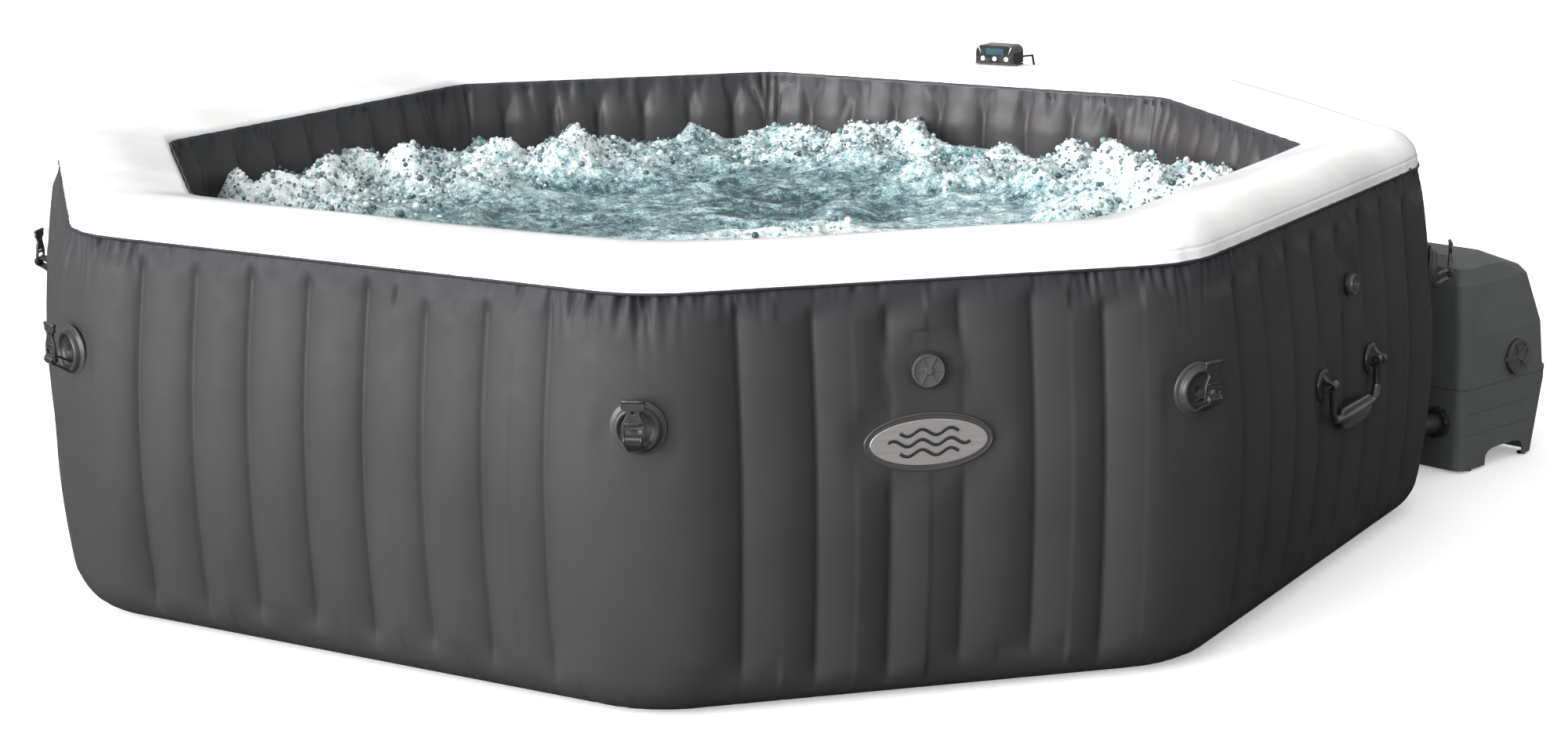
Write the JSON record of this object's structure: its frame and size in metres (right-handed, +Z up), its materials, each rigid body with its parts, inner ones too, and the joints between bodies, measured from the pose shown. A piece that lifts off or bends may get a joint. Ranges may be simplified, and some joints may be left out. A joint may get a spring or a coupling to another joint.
{
  "type": "inflatable hot tub",
  "caption": "Eight-sided inflatable hot tub with white rim, cover latches, carry handles, air valves, a control pod and a separate pump and heater unit joined by hoses.",
  "frame": {"origin": "centre of the tub on the ground plane", "axes": "+Z up; -Y out of the face with the badge and main air valve; +X towards the pump and heater unit"},
  "size_m": [2.7236, 2.366, 0.702],
  "materials": {
    "wall_vinyl": "satin laminated vinyl",
    "rim_vinyl": "satin white vinyl",
    "inner_vinyl": "satin laminated vinyl",
    "beam_vinyl": "matte",
    "duct_plastic": "matte",
    "patch_vinyl": "satin",
    "black_plastic": "satin",
    "gloss_black": "gloss",
    "cap_plastic": "satin",
    "hose_vinyl": "satin",
    "badge_metal": "satin silver",
    "badge_clear": "gloss",
    "seal_rubber": "matte",
    "white_plastic": "satin",
    "unit_plastic": "fine moulded grain",
    "steel": "satin",
    "filter_fabric": "pleated",
    "circuit_board": "satin",
    "display_glass": "gloss",
    "cable_rubber": "satin"
  },
  "bodies": {
    "tub": {"base_sheet": "wall_vinyl", "floor_sheet": "inner_vinyl", "outer_wall": "wall_vinyl", "inner_wall": "inner_vinyl", "top_rim": "rim_vinyl", "rim_weld_strip": "wall_vinyl", "wall_beams": "beam_vinyl", "bubble_duct": "duct_plastic", "latch_patches": "patch_vinyl", "handle_anchors": "black_plastic", "air_valve_body": "black_plastic", "vent_valve_body": "black_plastic", "valve_flaps": "beam_vinyl", "drain_valve_body": "black_plastic", "drain_tube": "hose_vinyl", "badge_plate": "badge_metal", "badge_border": "badge_clear", "wall_fittings": "black_plastic", "fitting_gaskets": "seal_rubber", "fitting_nuts": "black_plastic", "strainer_grids": "white_plastic", "unit_hoses": "hose_vinyl", "hose_collars": "black_plastic", "unit_tray": "unit_plastic", "unit_cover": "unit_plastic", "unit_feet": "seal_rubber", "cover_screws": "steel", "filter_canister": "black_plastic", "filter_cartridge": "filter_fabric", "pump_housing": "black_plastic", "blower_housing": "black_plastic", "heater_tube": "steel", "control_board": "circuit_board", "internal_pipes": "duct_plastic", "pod_bracket": "black_plastic", "pod_shell": "gloss_black", "pod_display": "display_glass", "pod_board": "circuit_board", "pod_cable": "cable_rubber", "power_cable": "cable_rubber", "power_plug": "black_plastic"},
    "receiver_0": {"latch_receiver_0": "black_plastic"},
    "receiver_1": {"latch_receiver_1": "black_plastic"},
    "receiver_2": {"latch_receiver_2": "black_plastic"},
    "receiver_3": {"latch_receiver_3": "black_plastic"},
    "receiver_4": {"latch_receiver_4": "black_plastic"},
    "receiver_5": {"latch_receiver_5": "black_plastic"},
    "receiver_6": {"latch_receiver_6": "black_plastic"},
    "receiver_7": {"latch_receiver_7": "black_plastic"},
    "handle_front": {"handle_front": "gloss_black"},
    "handle_rear": {"handle_rear": "gloss_black"},
    "air_cap": {"air_valve_cap": "cap_plastic"},
    "vent_cap": {"vent_valve_cap": "cap_plastic"},
    "drain_cap": {"drain_valve_cap": "cap_plastic"},
    "filter_cap": {"filter_cap": "cap_plastic"},
    "pump_rotor": {"pump_rotor": "white_plastic"},
    "blower_fan": {"blower_fan": "white_plastic"},
    "button_1": {"pod_button_1": "white_plastic"},
    "button_2": {"pod_button_2": "white_plastic"},
    "button_3": {"pod_button_3": "white_plastic"}
  },
  "joints": [
    {"name": "latch_0_flap", "type": "hinge", "parent": "tub", "child": "receiver_0", "pos_m": [-0.42133, -1.17151, 0.417], "axis": [-0.9239, 0.3827, 0], "range_deg": [-115, 0]},
    {"name": "latch_1_flap", "type": "hinge", "parent": "tub", "child": "receiver_1", "pos_m": [0.42133, -1.17151, 0.417], "axis": [-0.9239, -0.3827, 0], "range_deg": [-115, 0]},
    {"name": "latch_2_flap", "type": "hinge", "parent": "tub", "child": "receiver_2", "pos_m": [1.17151, -0.42133, 0.417], "axis": [-0.3827, -0.9239, 0], "range_deg": [-115, 0]},
    {"name": "latch_3_flap", "type": "hinge", "parent": "tub", "child": "receiver_3", "pos_m": [1.17151, 0.42133, 0.417], "axis": [0.3827, -0.9239, 0], "range_deg": [-115, 0]},
    {"name": "latch_4_flap", "type": "hinge", "parent": "tub", "child": "receiver_4", "pos_m": [0.42133, 1.17151, 0.417], "axis": [0.9239, -0.3827, 0], "range_deg": [-115, 0]},
    {"name": "latch_5_flap", "type": "hinge", "parent": "tub", "child": "receiver_5", "pos_m": [-0.42133, 1.17151, 0.417], "axis": [0.9239, 0.3827, 0], "range_deg": [-115, 0]},
    {"name": "latch_6_flap", "type": "hinge", "parent": "tub", "child": "receiver_6", "pos_m": [-1.17151, 0.42133, 0.417], "axis": [0.3827, 0.9239, 0], "range_deg": [-115, 0]},
    {"name": "latch_7_flap", "type": "hinge", "parent": "tub", "child": "receiver_7", "pos_m": [-1.17151, -0.42133, 0.417], "axis": [-0.3827, 0.9239, 0], "range_deg": [-115, 0]},
    {"name": "handle_front_swing", "type": "hinge", "parent": "tub", "child": "handle_front", "pos_m": [0.83644, -0.76573, 0.34], "axis": [-0.7071, -0.7071, 0], "range_deg": [0, 110]},
    {"name": "handle_rear_swing", "type": "hinge", "parent": "tub", "child": "handle_rear", "pos_m": [-0.83644, 0.76573, 0.34], "axis": [0.7071, 0.7071, 0], "range_deg": [0, 110]},
    {"name": "air_cap_turn", "type": "hinge", "parent": "tub", "child": "air_cap", "pos_m": [0, -1.15337, 0.484], "axis": [0, -1, 0], "range_deg": [0, 300]},
    {"name": "vent_cap_turn", "type": "hinge", "parent": "tub", "child": "vent_cap", "pos_m": [0.83729, -0.72981, 0.477], "axis": [0.7071, -0.7071, 0], "range_deg": [0, 300]},
    {"name": "drain_cap_turn", "type": "hinge", "parent": "tub", "child": "drain_cap", "pos_m": [0, 1.15522, 0.096], "axis": [0, 1, 0], "range_deg": [0, 300]},
    {"name": "filter_cap_turn", "type": "hinge", "parent": "tub", "child": "filter_cap", "pos_m": [1.45096, -0.15665, 0.196], "axis": [0.4848, -0.8746, 0], "range_deg": [0, 90]},
    {"name": "pump_spin", "type": "hinge", "parent": "tub", "child": "pump_rotor", "pos_m": [1.32049, 0.01685, 0.088], "axis": [0.8746, 0.4848, 0], "continuous": true},
    {"name": "blower_spin", "type": "hinge", "parent": "tub", "child": "blower_fan", "pos_m": [1.28208, -0.02731, 0.24], "axis": [0, 0, 1], "continuous": true},
    {"name": "button_1_press", "type": "slide", "parent": "tub", "child": "button_1", "axis": [0.7071, 0.7071, 0], "range_m": [0, 0.001]},
    {"name": "button_2_press", "type": "slide", "parent": "tub", "child": "button_2", "axis": [0.7071, 0.7071, 0], "range_m": [0, 0.001]},
    {"name": "button_3_press", "type": "slide", "parent": "tub", "child": "button_3", "axis": [0.7071, 0.7071, 0], "range_m": [0, 0.001]}
  ]
}
